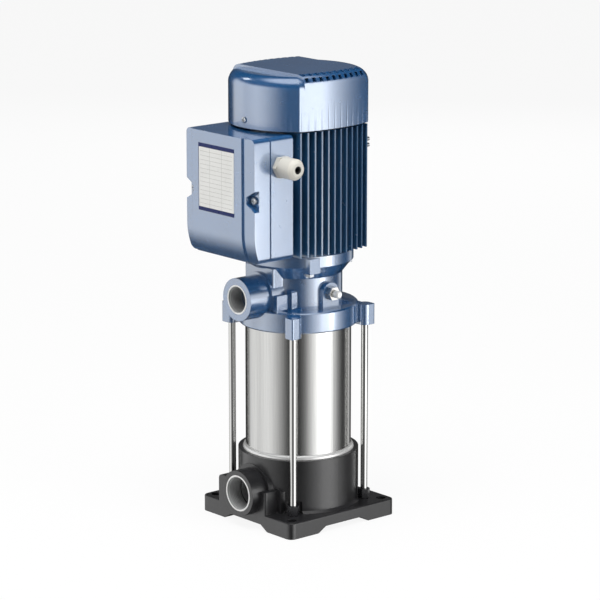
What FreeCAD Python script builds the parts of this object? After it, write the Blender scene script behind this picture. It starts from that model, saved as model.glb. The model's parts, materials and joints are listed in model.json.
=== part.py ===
import FreeCAD, Part
import math
import os

Vector = FreeCAD.Vector

# Foot plate and suction casting
plate_width = 168.0
plate_corner = 8.0
plate_top = 20.0
plate_edge = 2.0
foot_length = 44.0
arch_height = 7.0
arch_slope = 12.0
bolt_inset = 12.3
bolt_hole_radius = 6.0
barrel_radius = 73.4
barrel_height = 65.0
casting_wall = 9.0
suction_height = 42.0
suction_boss_radius = 28.0
foot_ring = 3.0
block_corner = 3.0
port_step = 2.0
suction_thread_radius = 19.48
block_reach = 37.0
suction_block_top = 48.0
post_reach = 51.0
post_depth = 14.0
post_top = 53.0
post_round = 5.0
root_step = 7.0
root_rise = 2.0
root_round = 6.0
collar_proud = 1.0
collar_width = 5.0
drain_radius = 5.5
drain_height = 34.0

# Jacket and tie rods
jacket_radius = 64.25
jacket_wall = 1.5
jacket_length = 157.0
jacket_seat = 6.0
flare_width = 3.4
flare_height = 4.5
rod_radius = 4.2
rod_offset = 57.0
rod_depth = 12.0
rod_grip = 20.0
rod_nut_flats = 13.0
rod_nut_height = 12.0
nut_pocket_radius = 12.8
nut_pocket_height = 15.0

# Discharge casting
ring_radius = 72.3
ring_height = 25.0
ring_edge = 1.5
lug_size = 18.0
lug_corner = 2.5
lug_round = 7.5
lug_drop = 2.5
lug_set = 2.5
web_rise = 5.0
web_width = 16.0
neck_radius = 53.3
neck_height = 50.0
neck_wall = 6.0
neck_flare = 12.0
discharge_height = 40.0
discharge_boss_radius = 26.0
discharge_thread_radius = 15.15
port_reach = 96.0
thread_depth = 20.0
port_lip = 2.8
riser_width = 52.0
riser_reach = 62.0
riser_corner = 2.0
riser_collar = 3.3
flange_radius = 66.7
flange_height = 17.0
flange_chamfer = 4.0
front_bolt_x = 53.0
front_bolt_y = 28.0
rear_bolt_x = 30.6
rear_bolt_y = 53.0
motor_bolt_radius = 3.0
bolt_grip = 14.0
bolt_spot_radius = 6.0
bolt_spot_room = 8.0
boss_wall = 3.0
gauge_x = 20.0
gauge_size = 15.0
gauge_reach = 63.3
gauge_rise = 20.0
gauge_root = 44.0
gauge_step = 4.5
gauge_lift = 5.0
motor_lug_width = 21.2
motor_lug_depth = 16.6
motor_lug_drop = 3.0
motor_lug_set = 1.5

# Vent plug and bleed screw, on the +X side of the neck
vent_height = 44.5
vent_boss_radius = 12.5
vent_face = 60.0
vent_plug_radius = 6.5
vent_plug_flats = 15.0
vent_plug_head = 7.0
bleed_radius = 2.2
knob_radius = 4.6
knob_length = 8.0
knob_crown = 1.6
knob_gap = 1.0

# Pump stages and shaft
stage_count = 4
stage_pitch = 34.0
chamber_radius = 60.0
chamber_wall = 2.0
chamber_floor = 2.0
guide_vane_height = 9.0
vane_count = 6
vane_thickness = 1.8
impeller_radius = 44.0
impeller_height = 13.0
impeller_rise = 5.0
disc_thickness = 1.8
hub_radius = 11.0
eye_radius = 19.0
wear_clearance = 0.4
shaft_radius = 7.0
running_clearance = 0.05
press_clearance = 0.02
fit_clearance = 0.1
shaft_nut_flats = 19.0
shaft_nut_height = 8.0

# Shaft seal
seal_bore = 17.0
seal_shaft_radius = 9.5
seal_seat_height = 7.0
seal_lead = 8.0
seal_head_height = 14.0
seal_head_radius = 14.0

# Motor
frame_height = 152.0
frame_radius = 58.0
stator_radius = 53.0
side_bulge = 72.4
side_curve = 186.0
side_end = 53.5
facet_run = 10.6
fin_count = 12
fin_margin = 6.3
fin_thickness = 2.2
fin_lift = 2.5
rear_fin_count = 7
rear_fin_reach = 80.0
box_pad_width = 60.0
box_pad_margin = 8.0
core_length = 84.0
core_lift = 28.0
rotor_radius = 30.0
air_gap = 0.4
winding_height = 13.0
motor_shaft_radius = 12.0
lower_bearing_radius = 23.5
lower_bearing_bore = 10.0
lower_bearing_width = 14.0
upper_bearing_radius = 20.0
upper_bearing_bore = 8.5
upper_bearing_width = 12.0
shield_thickness = 6.0

# Fan and fan cover
cover_gap = 1.6
cover_height = 66.0
cover_radius = 83.5
cover_wall = 2.5
shoulder_radius = 15.0
panel_rise = 3.2
panel_half = 47.0
slot_width = 4.8
slot_inset = 14.5
slot_length = 7.5
lower_slot_inset = 8.0
lower_slot_low = 8.6
lower_slot_high = 3.6
cover_screw_radius = 2.0
cover_screw_length = 12.0
cover_screw_lift = 9.5
arm_half = 9.0
arm_gap = 0.4
arm_rise = 5.0
arm_root = 4.0
fan_radius = 52.0
fan_bore = 7.5
fan_height = 24.0
fan_hub_height = 14.4
fan_blades = 7
fan_lift = 14.0

# Terminal box on the -Y side
box_width = 125.5
box_shift = -2.75
box_low = 2.5
box_height = 148.0
box_back = 59.5
box_split = 95.0
box_front = 120.6
box_wall = 3.0
box_corner = 6.0
seam_width = 2.0
seam_depth = 1.4
panel_right = 41.8
panel_left = 50.0
panel_step = 2.2
sweep_height = 35.0
sweep_depth = 8.0
pocket_height = 75.0
pocket_reach = 15.0
pocket_depth = 7.2
label_width = 65.4
label_height = 80.8
label_centre = -7.3
label_top_gap = 14.8
label_thickness = 0.4
box_screw_radius = 2.4
box_screw_depth = 14.0
post_half = 16.0
pocket_mouth = 13.0
pocket_end = 4.0
earth_screw_x = 60.0
earth_screw_height = 125.3
earth_screw_pitch = 7.3
clamp_count = 4
clamp_pitch = 13.0
clamp_depth = 12.0
clamp_height = 16.0
clamp_well = 8.0
capacitor_radius = 14.0
capacitor_length = 64.0
gland_rise = 112.5
gland_offset = 77.4
gland_radius = 12.5
gland_thread_radius = 9.0
gland_thread_run = 7.0
gland_bore = 4.8
gland_flats = 24.0
gland_flats_height = 6.0
gland_stub = 14.0
gland_nut_gap = 0.5
gland_nut_length = 23.5
lock_nut_height = 4.0

# Heights of the joint faces above the floor, and other derived places
barrel_top = plate_top + barrel_height
jacket_low = barrel_top - jacket_seat
head_low = barrel_top + jacket_length
jacket_high = head_low + jacket_seat
ring_top = head_low + ring_height
neck_top = ring_top + neck_height
flange_top = neck_top + flange_height
frame_top = flange_top + frame_height
fin_pitch = 2 * (frame_radius - fin_margin) / (fin_count - 1)
cover_low = frame_top + cover_gap
cover_top = cover_low + cover_height
stack_top = jacket_low + stage_count * stage_pitch
suction_chamber_radius = chamber_radius - casting_wall
neck_bore = neck_radius - neck_wall
bolt_place = plate_width / 2 - bolt_inset
discharge_z = head_low + discharge_height
vent_z = head_low + vent_height
knob_face = vent_face + vent_plug_head + knob_gap
seat_top = neck_top - 1.0
seal_z = seat_top - seal_seat_height
bearing_low = flange_top - lower_bearing_width
core_low = flange_top + core_lift
core_top = core_low + core_length
shield_top = frame_top + shield_thickness
bearing_high = shield_top - 2.0
upper_bearing_low = bearing_high - upper_bearing_width
fan_low = shield_top + fan_lift
cover_screw_z = cover_low + cover_screw_lift
hub_low = jacket_low - 1.0
hub_high = hub_low + stage_count * stage_pitch
box_bottom = flange_top + box_low
box_top = box_bottom + box_height
pocket_z = box_bottom + pocket_height
gland_z = box_bottom + gland_rise
eye_hole = eye_radius + wear_clearance
corners = [(1, 1), (-1, 1), (-1, -1), (1, -1)]


def cylinder(radius, low, high, x=0.0, y=0.0):
    """An upright cylinder between two heights."""
    return Part.makeCylinder(radius, high - low, Vector(x, y, low))


def bar(radius, start, direction, length):
    """A round bar from a start point along a direction."""
    return Part.makeCylinder(radius, length, start, direction)


def block(x_low, x_high, y_low, y_high, z_low, z_high):
    """A rectangular block between two corners."""
    size = Vector(x_high - x_low, y_high - y_low, z_high - z_low)
    return Part.makeBox(size.x, size.y, size.z, Vector(x_low, y_low, z_low))


def turned(profile):
    """A solid turned about the shaft axis from a closed outline of (radius, height) points."""
    points = [Vector(radius, 0, height) for radius, height in profile]
    face = Part.Face(Part.makePolygon(points + points[:1]))
    return face.revolve(Vector(0, 0, 0), Vector(0, 0, 1), 360)


def tube(outer, inner, low, high):
    """An upright tube between two heights."""
    return turned([(inner, low), (outer, low), (outer, high), (inner, high)])


def prism(points, direction):
    """A straight prism swept from a closed polygon."""
    return Part.Face(Part.makePolygon(points + points[:1])).extrude(direction)


def hexagon(flats, start, direction, length):
    """A hexagonal prism with the given distance across flats."""
    reach = flats / math.sqrt(3.0)
    turn = FreeCAD.Rotation(Vector(0, 0, 1), direction)
    angles = [math.radians(60 * side + 30) for side in range(6)]
    ring = [Vector(reach * math.cos(a), reach * math.sin(a), 0) for a in angles]
    points = [start + turn.multVec(point) for point in ring]
    return prism(points, turn.multVec(Vector(0, 0, length)))


def fillet_where(shape, radius, chosen):
    """Round the edges for which the test is true."""
    edges = [edge for edge in shape.Edges if chosen(edge)]
    return shape.makeFillet(radius, edges)


def is_vertical(edge):
    """True for a straight edge that runs along Z."""
    box = edge.BoundBox
    return box.XLength < 0.01 and box.YLength < 0.01 and box.ZLength > 1.0


def is_cross(edge):
    """True for a straight edge that runs along Y."""
    box = edge.BoundBox
    return box.XLength < 0.01 and box.ZLength < 0.01 and box.YLength > 1.0


def at_height(edge, height):
    """True for an edge that lies level at a height."""
    box = edge.BoundBox
    return abs(box.ZMin - height) < 0.01 and abs(box.ZMax - height) < 0.01


def joined(shapes):
    """One solid from shapes that touch or overlap."""
    return shapes[0].multiFuse(shapes[1:]).removeSplitter()


def save(name, shape):
    """Write one sub-part to its own STEP file."""
    solids = shape.Solids
    whole = solids[0] if len(solids) == 1 else Part.makeCompound(solids)
    whole.exportStep("parts/" + name + ".step")
    print(name, len(solids), "solid(s)", round(whole.Volume / 1000.0, 2), "cm3")


def port_bore(thread_radius, height, inner_reach):
    """The threaded mouth of a port on the -Y side, its lead-in and the passage behind it."""
    mouth = Vector(0, -port_reach, height)
    inward = Vector(0, 1, 0)
    thread = bar(thread_radius, mouth, inward, thread_depth)
    passage = bar(thread_radius - port_step, mouth, inward, port_reach - inner_reach)
    lead_in = Part.makeCone(thread_radius + port_lip, thread_radius, port_lip, mouth, inward)
    return joined([thread, passage, lead_in])


def at_rods(make):
    """One shape for each tie rod place, made by a function of x and y."""
    return [make(sx * rod_offset, sy * rod_offset) for sx, sy in corners]


def at_motor_bolts(make):
    """One shape for each motor bolt place, made by a function of x and y."""
    front = [make(side * front_bolt_x, -front_bolt_y) for side in (-1, 1)]
    return front + [make(side * rear_bolt_x, rear_bolt_y) for side in (-1, 1)]


def on_box(shape):
    """A piece of the terminal box group, moved from the middle plane to its place."""
    return shape.translated(Vector(box_shift, 0, 0))


def suction_body():
    """Foot plate, barrel and suction port, cast in one piece and open at the top."""
    half = plate_width / 2
    plate = block(-half, half, -half, half, 0, plate_top)
    plate = fillet_where(plate, plate_corner, is_vertical)
    plate = fillet_where(plate, plate_edge, lambda edge: at_height(edge, plate_top))
    inner = half - foot_length
    arch = [(-inner, -1), (-inner, 0), (-inner + arch_slope, arch_height)]
    arch += [(inner - arch_slope, arch_height), (inner, 0), (inner, -1)]
    along_y = prism([Vector(x, -half - 1, z) for x, z in arch], Vector(0, plate_width + 2, 0))
    along_x = prism([Vector(-half - 1, y, z) for y, z in arch], Vector(plate_width + 2, 0, 0))
    plate = plate.cut([along_y, along_x])
    barrel = turned([
        (0, arch_height), (barrel_radius + foot_ring, arch_height),
        (barrel_radius + foot_ring, plate_top), (barrel_radius, plate_top + foot_ring),
        (barrel_radius, barrel_top), (0, barrel_top),
    ])
    port_face = Vector(0, -port_reach, suction_height)
    inward = Vector(0, 1, 0)
    boss = bar(suction_boss_radius, port_face, inward, port_reach)
    collar_face = Vector(0, -barrel_radius - collar_proud, suction_height)
    collar = bar(suction_boss_radius + collar_width, collar_face, inward, barrel_radius)
    port_block = block(0, block_reach, -half, 0, arch_height, suction_block_top)
    port_block = fillet_where(port_block, block_corner, is_vertical)
    root_far = block_reach + root_step
    root_top = suction_block_top + root_rise
    root = block(0, root_far, -math.sqrt(barrel_radius ** 2 - block_reach ** 2) - root_rise, 0,
                 arch_height, root_top)
    root = fillet_where(root, root_round, lambda edge: edge.BoundBox.XMin > root_far - 0.01
                        and at_height(edge, root_top))
    post = block(-post_reach, 0, -half, -half + post_depth, arch_height, post_top)
    post = fillet_where(post, post_round, lambda edge: is_cross(edge)
                        and at_height(edge, post_top) and edge.BoundBox.XMax < -1)
    body = joined([plate, barrel, boss, collar, port_block, root, post])
    seat_radius = jacket_radius + fit_clearance
    cavity = turned([
        (0, casting_wall + arch_height), (suction_chamber_radius, casting_wall + arch_height),
        (suction_chamber_radius, jacket_low), (seat_radius, jacket_low),
        (seat_radius, barrel_top + 1), (0, barrel_top + 1),
    ])
    drain_start = Vector(-barrel_radius, 0, drain_height)
    cutters = [
        cavity,
        port_bore(suction_thread_radius, suction_height, suction_chamber_radius - casting_wall),
        bar(drain_radius + fit_clearance, drain_start, Vector(1, 0, 0), barrel_radius),
    ]
    for sx, sy in corners:
        cutters.append(cylinder(bolt_hole_radius, -1, plate_top + 1, sx * bolt_place, sy * bolt_place))
    rod_hole = rod_radius + fit_clearance
    pocket_top = plate_top + nut_pocket_height
    cutters += at_rods(lambda x, y: cylinder(rod_hole, plate_top - rod_depth, barrel_top + 1, x, y))
    cutters += at_rods(lambda x, y: cylinder(nut_pocket_radius, plate_top, pocket_top, x, y))
    return body.cut(cutters)


def drain_plug():
    """Hexagon-headed plug in the back of the barrel."""
    face = Vector(-barrel_radius, 0, drain_height)
    head = hexagon(drain_radius * 2.6, face, Vector(-1, 0, 0), 6.0)
    shank = bar(drain_radius, face, Vector(1, 0, 0), barrel_radius - suction_chamber_radius)
    return joined([head, shank])


def jacket():
    """Thin stainless sleeve with a flared foot that rests on the barrel's rim."""
    inner = jacket_radius - jacket_wall
    flare_radius = jacket_radius + flare_width
    return turned([
        (inner, jacket_low), (jacket_radius, jacket_low), (jacket_radius, barrel_top),
        (flare_radius, barrel_top), (jacket_radius, barrel_top + flare_height),
        (jacket_radius, jacket_high), (inner, jacket_high),
    ])


def tie_rods():
    """Four rods from the foot plate to the lugs of the discharge casting."""
    low = plate_top - rod_depth
    high = head_low + rod_grip
    return Part.makeCompound(at_rods(lambda x, y: cylinder(rod_radius, low, high, x, y)))


def rod_nut(x, y):
    """One hexagon nut on the foot plate."""
    foot = Vector(x, y, plate_top)
    up = Vector(0, 0, 1)
    nut = hexagon(rod_nut_flats, foot, up, rod_nut_height)
    return nut.cut(bar(rod_radius + fit_clearance, foot, up, rod_nut_height))


def rod_lug(x, y):
    """Square lug around a tie rod, sharp at its outer corner and well rounded at its sides."""
    half = lug_size / 2
    lug = block(x - half, x + half, y - half, y + half, head_low - lug_drop, ring_top - lug_set)
    middle = math.hypot(x, y)
    lug = fillet_where(lug, lug_round, lambda edge: is_vertical(edge)
                       and abs(math.hypot(edge.BoundBox.XMin, edge.BoundBox.YMin) - middle) < half)
    return fillet_where(lug, lug_corner, lambda edge: is_vertical(edge)
                        and math.hypot(edge.BoundBox.XMin, edge.BoundBox.YMin) > middle + half)


def lug_web(sx, sy):
    """Wall that slopes from the neck down to a rod lug, along the diagonal."""
    outward = Vector(sx, sy, 0).normalize()
    across = Vector(-sy, sx, 0).normalize() * web_width / 2
    reach = math.hypot(rod_offset, rod_offset)
    start = neck_radius - neck_wall
    lug_top = ring_top - lug_set - 1
    outline = [(start, head_low + 1), (reach, head_low + 1), (reach, lug_top), (start, ring_top + web_rise)]
    points = [outward * along + Vector(0, 0, height) - across for along, height in outline]
    return prism(points, across * 2)


def discharge_body():
    """Flange ring with rod lugs, neck, discharge port and motor flange, cast in one piece."""
    outside = turned([
        (0, stack_top), (chamber_radius, stack_top), (chamber_radius, head_low),
        (ring_radius - ring_edge, head_low), (ring_radius, head_low + ring_edge),
        (ring_radius, ring_top - ring_edge), (ring_radius - ring_edge, ring_top), (neck_radius, ring_top),
        (neck_radius, neck_top - neck_flare), (flange_radius - flange_chamfer, neck_top),
        (flange_radius, neck_top + flange_chamfer), (flange_radius, flange_top), (0, flange_top),
    ])
    half = riser_width / 2
    sideways = Vector(1, 0, 0)
    vent_axis = Vector(0, 0, vent_z)
    port_face = Vector(0, -port_reach, discharge_z)
    collar_face = Vector(0, -riser_reach - riser_collar, discharge_z)
    riser = block(-half, half, -riser_reach, 0, head_low, neck_top + 1)
    gauge_far = gauge_x + gauge_size + gauge_step
    gauge_top = ring_top + gauge_rise + gauge_lift
    gauge_base = block(gauge_x, gauge_far, -gauge_root, -gauge_x, ring_top - 5, gauge_top)
    gauge_base = fillet_where(gauge_base, gauge_step, lambda edge: edge.BoundBox.XMin > gauge_far - 0.01
                              and at_height(edge, gauge_top))
    pieces = [
        outside,
        bar(discharge_boss_radius, port_face, Vector(0, 1, 0), port_reach),
        bar(discharge_boss_radius + riser_collar, collar_face, Vector(0, 1, 0), riser_reach),
        fillet_where(riser, riser_corner, lambda edge: is_vertical(edge) and edge.BoundBox.YMax < -1),
        block(gauge_x, gauge_x + gauge_size, -gauge_reach, -gauge_x, ring_top - 5, ring_top + gauge_rise),
        gauge_base,
        bar(vent_boss_radius, vent_axis, sideways, vent_face),
        block(0, vent_face, -vent_boss_radius, vent_boss_radius, ring_top - 3, vent_z),
    ]
    pieces += at_rods(rod_lug)
    pieces += [lug_web(sx, sy) for sx, sy in corners]
    pieces += [flange_lug(side) for side in (-1, 1)]
    body = joined(pieces)
    skirt_inner = chamber_radius - chamber_wall
    bearing_seat = lower_bearing_radius + press_clearance
    lip = seal_bore - 4
    cavity = turned([
        (0, stack_top - 1), (skirt_inner, stack_top - 1), (skirt_inner, jacket_high),
        (neck_bore, ring_top), (neck_bore, seal_z - seal_lead), (seal_bore, seal_z - seal_lead),
        (seal_bore, seat_top), (lip, seat_top), (lip, bearing_low), (bearing_seat, bearing_low),
        (bearing_seat, flange_top + 1), (0, flange_top + 1),
    ])
    groove_inner = jacket_radius - jacket_wall - fit_clearance
    rod_hole = rod_radius + fit_clearance
    cutters = [
        cavity,
        tube(jacket_radius + fit_clearance, groove_inner, head_low - 1, jacket_high),
        port_bore(discharge_thread_radius, discharge_z, neck_bore - neck_wall),
        bar(vent_plug_radius + fit_clearance, vent_axis, sideways, vent_face + 1),
    ]
    cutters += at_rods(lambda x, y: cylinder(rod_hole, head_low - lug_drop - 1, head_low + rod_grip, x, y))
    cutters += at_motor_bolts(motor_bolt_hole) + at_motor_bolts(bolt_spot)
    return body.cut(cutters)


def bolt_seat(y):
    """Height of the face that a motor bolt's head bears on: the front pair sits under the lugs."""
    return neck_top - motor_lug_drop if y < 0 else neck_top


def motor_bolt_hole(x, y):
    """Clearance hole for one motor bolt, through the flange and into the frame's boss."""
    return cylinder(motor_bolt_radius + fit_clearance, bolt_seat(y) - 1, flange_top + bolt_grip, x, y)


def motor_bolt_boss(x, y):
    """Boss on the motor frame that takes one motor bolt."""
    return cylinder(motor_bolt_radius + boss_wall, flange_top, flange_top + bolt_grip + boss_wall, x, y)


def bolt_spot(x, y):
    """Room for a motor bolt's head in the flare under the flange."""
    seat = bolt_seat(y)
    return cylinder(bolt_spot_radius, seat - bolt_spot_room, seat, x, y)


def flange_lug(side):
    """Square lug on the rim of the motor flange, around one of the front motor bolts."""
    near, far = front_bolt_x - motor_lug_width / 2, front_bolt_x + motor_lug_width / 2
    low, high = sorted((side * near, side * far))
    half = motor_lug_depth / 2
    return block(low, high, -front_bolt_y - half, -front_bolt_y + half,
                 neck_top - motor_lug_drop, flange_top - motor_lug_set)


def motor_bolt(x, y):
    """Hexagon bolt that enters the motor frame from below the flange."""
    face = Vector(x, y, bolt_seat(y))
    head = hexagon(motor_bolt_radius * 3.2, face, Vector(0, 0, -1), motor_bolt_radius * 1.6)
    return joined([head, cylinder(motor_bolt_radius, face.z, flange_top + bolt_grip, x, y)])


def vent_plug():
    """Hexagon plug in the vent boss, bored for the bleed screw."""
    face = Vector(vent_face, 0, vent_z)
    outward = Vector(1, 0, 0)
    head = hexagon(vent_plug_flats, face, outward, vent_plug_head)
    shank = bar(vent_plug_radius, face, outward * -1, vent_face - neck_bore)
    bore = bar(bleed_radius + running_clearance, face - outward * vent_face, outward, 2 * vent_face)
    return joined([head, shank]).cut(bore)


def bleed_stem():
    """Needle of the bleed screw, from the neck's inner wall to the knob."""
    start = Vector(knob_face + knob_length - knob_crown - running_clearance, 0, vent_z)
    return bar(bleed_radius, start, Vector(-1, 0, 0), start.x - neck_bore)


def bleed_knob():
    """Small round knob around the outer end of the needle."""
    start = Vector(knob_face, 0, vent_z)
    outward = Vector(1, 0, 0)
    knob = bar(knob_radius, start, outward, knob_length)
    crown = [edge for edge in knob.Edges if edge.BoundBox.XMin > start.x + 1]
    knob = knob.makeChamfer(knob_radius * 0.3, crown)
    return knob.cut(bar(bleed_radius + running_clearance, start, outward, knob_length - knob_crown))


def stage_chamber(index):
    """Cup around one impeller, with guide vanes under its floor that lead into the eye."""
    low = jacket_low + index * stage_pitch
    high = low + stage_pitch
    inner = chamber_radius - chamber_wall
    floor = low + chamber_floor
    cup = turned([
        (eye_hole, low), (chamber_radius, low), (chamber_radius, high), (inner, high),
        (inner, floor), (eye_hole, floor),
    ])
    if index == 0:
        return cup
    vanes = []
    for number in range(vane_count):
        vane = block(eye_hole + 3, inner - 1, -vane_thickness / 2, vane_thickness / 2,
                     low - guide_vane_height, low + chamber_floor / 2)
        vane.rotate(Vector(eye_hole + 3, 0, 0), Vector(0, 0, 1), 28)
        vane.rotate(Vector(0, 0, 0), Vector(0, 0, 1), number * 360 / vane_count)
        vanes.append(vane)
    shell = cylinder(inner - 0.3, low - stage_pitch, high)
    return joined([cup] + [vane.common(shell) for vane in vanes])


def blade(inner, outer, low, high, number):
    """A backward-curved blade between two radii, as an arc-shaped plate."""
    bow = (outer - inner) * 0.22
    lean = (outer - inner) * 0.55
    start = Vector(inner, 0, low)
    middle = Vector((inner + outer) / 2, -lean / 2 - bow, low)
    end = Vector(outer, -lean, low)
    edge = Part.Arc(start, middle, end).toShape()
    thick = Vector(0, vane_thickness, 0)
    other = Part.Arc(start + thick, middle + thick, end + thick).toShape()
    sides = [edge, Part.makeLine(end, end + thick), other, Part.makeLine(start, start + thick)]
    plate = Part.Face(Part.Wire(Part.__sortEdges__(sides))).extrude(Vector(0, 0, high - low))
    plate.rotate(Vector(0, 0, 0), Vector(0, 0, 1), number * 360 / vane_count)
    return plate


def impeller(index):
    """Hub, back disc and curved blades; the hub reaches up to the next impeller's hub."""
    low = jacket_low + index * stage_pitch + chamber_floor + impeller_rise
    hub = hub_low + index * stage_pitch
    top = low + impeller_height
    bore = shaft_radius + press_clearance
    body = turned([
        (bore, hub), (hub_radius, hub), (hub_radius, top - disc_thickness),
        (impeller_radius, top - disc_thickness), (impeller_radius, top), (hub_radius, top),
        (hub_radius, hub + stage_pitch), (bore, hub + stage_pitch),
    ])
    blades = [
        blade(hub_radius + 3, impeller_radius, low, top - disc_thickness / 2, number)
        for number in range(vane_count)
    ]
    rim = cylinder(impeller_radius, low - 1, top + 1)
    return joined([body] + [plate.common(rim) for plate in blades])


def shaft():
    """Stepped shaft from the nut below the first impeller to the fan."""
    thread = shaft_radius - 1.0
    fan_end = fan_low + fan_hub_height
    return turned([
        (0, hub_low - shaft_nut_height - 3), (thread, hub_low - shaft_nut_height - 3), (thread, hub_low),
        (shaft_radius, hub_low), (shaft_radius, hub_high), (seal_shaft_radius, hub_high),
        (seal_shaft_radius, bearing_low), (lower_bearing_bore, bearing_low),
        (lower_bearing_bore, flange_top), (motor_shaft_radius, flange_top),
        (motor_shaft_radius, upper_bearing_low), (upper_bearing_bore, upper_bearing_low),
        (upper_bearing_bore, shield_top + 1), (fan_bore, shield_top + 1),
        (fan_bore, fan_end), (0, fan_end),
    ])


def shaft_nut():
    """Hexagon nut that clamps the stack of impeller hubs."""
    start = Vector(0, 0, hub_low - shaft_nut_height)
    up = Vector(0, 0, 1)
    nut = hexagon(shaft_nut_flats, start, up, shaft_nut_height)
    return nut.cut(bar(shaft_radius - 1.0 + press_clearance, start, up, shaft_nut_height))


def bearing_ring_split(outer, bore):
    """Radius where a bearing's outer part meets its inner ring."""
    return bore + (outer - bore) * 0.4


def bearing_outer_rings():
    """Outer rings with their cages and shields, one in the flange and one in the end shield."""
    low_split = bearing_ring_split(lower_bearing_radius, lower_bearing_bore)
    high_split = bearing_ring_split(upper_bearing_radius, upper_bearing_bore)
    return Part.makeCompound([
        tube(lower_bearing_radius, low_split, bearing_low, flange_top),
        tube(upper_bearing_radius, high_split, upper_bearing_low, bearing_high),
    ])


def bearing_inner_rings():
    """Inner rings on the shaft's two seats."""
    low_split = bearing_ring_split(lower_bearing_radius, lower_bearing_bore) - running_clearance
    high_split = bearing_ring_split(upper_bearing_radius, upper_bearing_bore) - running_clearance
    return Part.makeCompound([
        tube(low_split, lower_bearing_bore + press_clearance, bearing_low, flange_top),
        tube(high_split, upper_bearing_bore + press_clearance, upper_bearing_low, bearing_high),
    ])


def plan_edges():
    """Plan of the motor: round front and back, gently bowed sides and flat facets between them."""
    side_x = side_bulge - side_end ** 2 / (2 * side_curve)
    facet_x = side_x - facet_run
    facet_y = math.sqrt(cover_radius ** 2 - facet_x ** 2)
    a, b = Vector(side_x, -side_end, 0), Vector(side_x, side_end, 0)
    c, d = Vector(facet_x, facet_y, 0), Vector(-facet_x, facet_y, 0)
    e, f = Vector(-side_x, side_end, 0), Vector(-side_x, -side_end, 0)
    g, h = Vector(-facet_x, -facet_y, 0), Vector(facet_x, -facet_y, 0)
    return [
        Part.Arc(a, Vector(side_bulge, 0, 0), b).toShape(), Part.makeLine(b, c),
        Part.Arc(c, Vector(0, cover_radius, 0), d).toShape(), Part.makeLine(d, e),
        Part.Arc(e, Vector(-side_bulge, 0, 0), f).toShape(), Part.makeLine(f, g),
        Part.Arc(g, Vector(0, -cover_radius, 0), h).toShape(), Part.makeLine(h, a),
    ]


def motor_plan(low, high, inset=0.0):
    """A prism with the motor's plan, drawn in by an inset all round."""
    wire = Part.Wire(plan_edges())
    if inset > 0:
        wire = wire.makeOffset2D(-inset, 2)
    wire.translate(Vector(0, 0, low))
    return Part.Face(wire).extrude(Vector(0, 0, high - low))


def motor_frame():
    """Finned tube around the stator, with a pad for the terminal box and four bolt bosses."""
    low = flange_top + fin_lift
    reach = cover_radius
    barrel = cylinder(frame_radius, flange_top, frame_top)
    fins = []
    for number in range(fin_count):
        y = (number - (fin_count - 1) / 2) * fin_pitch
        fins.append(block(-reach, reach, y - fin_thickness / 2, y + fin_thickness / 2, low, frame_top))
    rear = []
    for number in range(rear_fin_count):
        x = (number - (rear_fin_count - 1) / 2) * fin_pitch
        rear.append(block(x - fin_thickness / 2, x + fin_thickness / 2, 0, reach, low, frame_top))
    plan = motor_plan(flange_top, frame_top)
    side_fins = [fin.common(plan) for fin in fins]
    rear_limit = cylinder(rear_fin_reach, flange_top, frame_top)
    rear_fins = [fin.common(rear_limit) for fin in rear]
    half = box_pad_width / 2
    pad = block(-half, half, -box_back, 0, box_bottom + box_pad_margin, box_top - box_pad_margin)
    frame = barrel.multiFuse([pad] + side_fins + rear_fins + at_motor_bolts(motor_bolt_boss))
    bore = cylinder(stator_radius + press_clearance, flange_top - 1, frame_top + 1)
    return frame.cut([bore] + at_motor_bolts(motor_bolt_hole))


def stator_core():
    """Laminated ring pressed into the frame."""
    return tube(stator_radius, rotor_radius + air_gap, core_low, core_top)


def stator_windings():
    """Coil ends above and below the core, bundled into twelve-sided rings."""
    rings = []
    for low in (core_low - winding_height, core_top):
        sides = []
        for reach in (stator_radius - 3, rotor_radius + 6):
            angles = [math.radians(30 * side) for side in range(12)]
            points = [Vector(reach * math.cos(a), reach * math.sin(a), low) for a in angles]
            sides.append(prism(points, Vector(0, 0, winding_height)))
        rings.append(sides[0].cut(sides[1]))
    return Part.makeCompound(rings)


def rotor_core():
    """Rotor pressed on the motor end of the shaft."""
    return tube(rotor_radius, motor_shaft_radius + press_clearance, core_low + 1, core_top - 1)


def cover_screw_hole():
    """One long hole along Y for both fan cover screws."""
    start = Vector(0, -cover_radius - 1, cover_screw_z)
    return bar(cover_screw_radius + fit_clearance, start, Vector(0, 1, 0), 2 * (cover_radius + 1))


def upper_end_shield():
    """Disc on top of the frame with the bearing pocket and two arms that hold the fan cover."""
    pocket_wall = upper_bearing_radius + 4
    seat = upper_bearing_radius + press_clearance
    disc = turned([
        (seat, upper_bearing_low), (pocket_wall, upper_bearing_low), (pocket_wall, frame_top),
        (frame_radius, frame_top), (frame_radius, shield_top), (upper_bearing_bore + 1, shield_top),
        (upper_bearing_bore + 1, bearing_high), (seat, bearing_high),
    ])
    reach = cover_radius - cover_wall - fit_clearance
    limit = cylinder(reach, frame_top, cover_screw_z + 2 * arm_rise)
    arms = []
    for side in (-1, 1):
        near, far = sorted((side * (frame_radius - arm_root), side * (reach + arm_root)))
        arm = block(-arm_half, arm_half, near, far, cover_low + arm_gap, cover_screw_z + arm_rise)
        arms.append(arm.common(limit))
    arms = [arm.cut(cover_screw_hole()) for arm in arms]
    return joined([disc] + arms)


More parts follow.
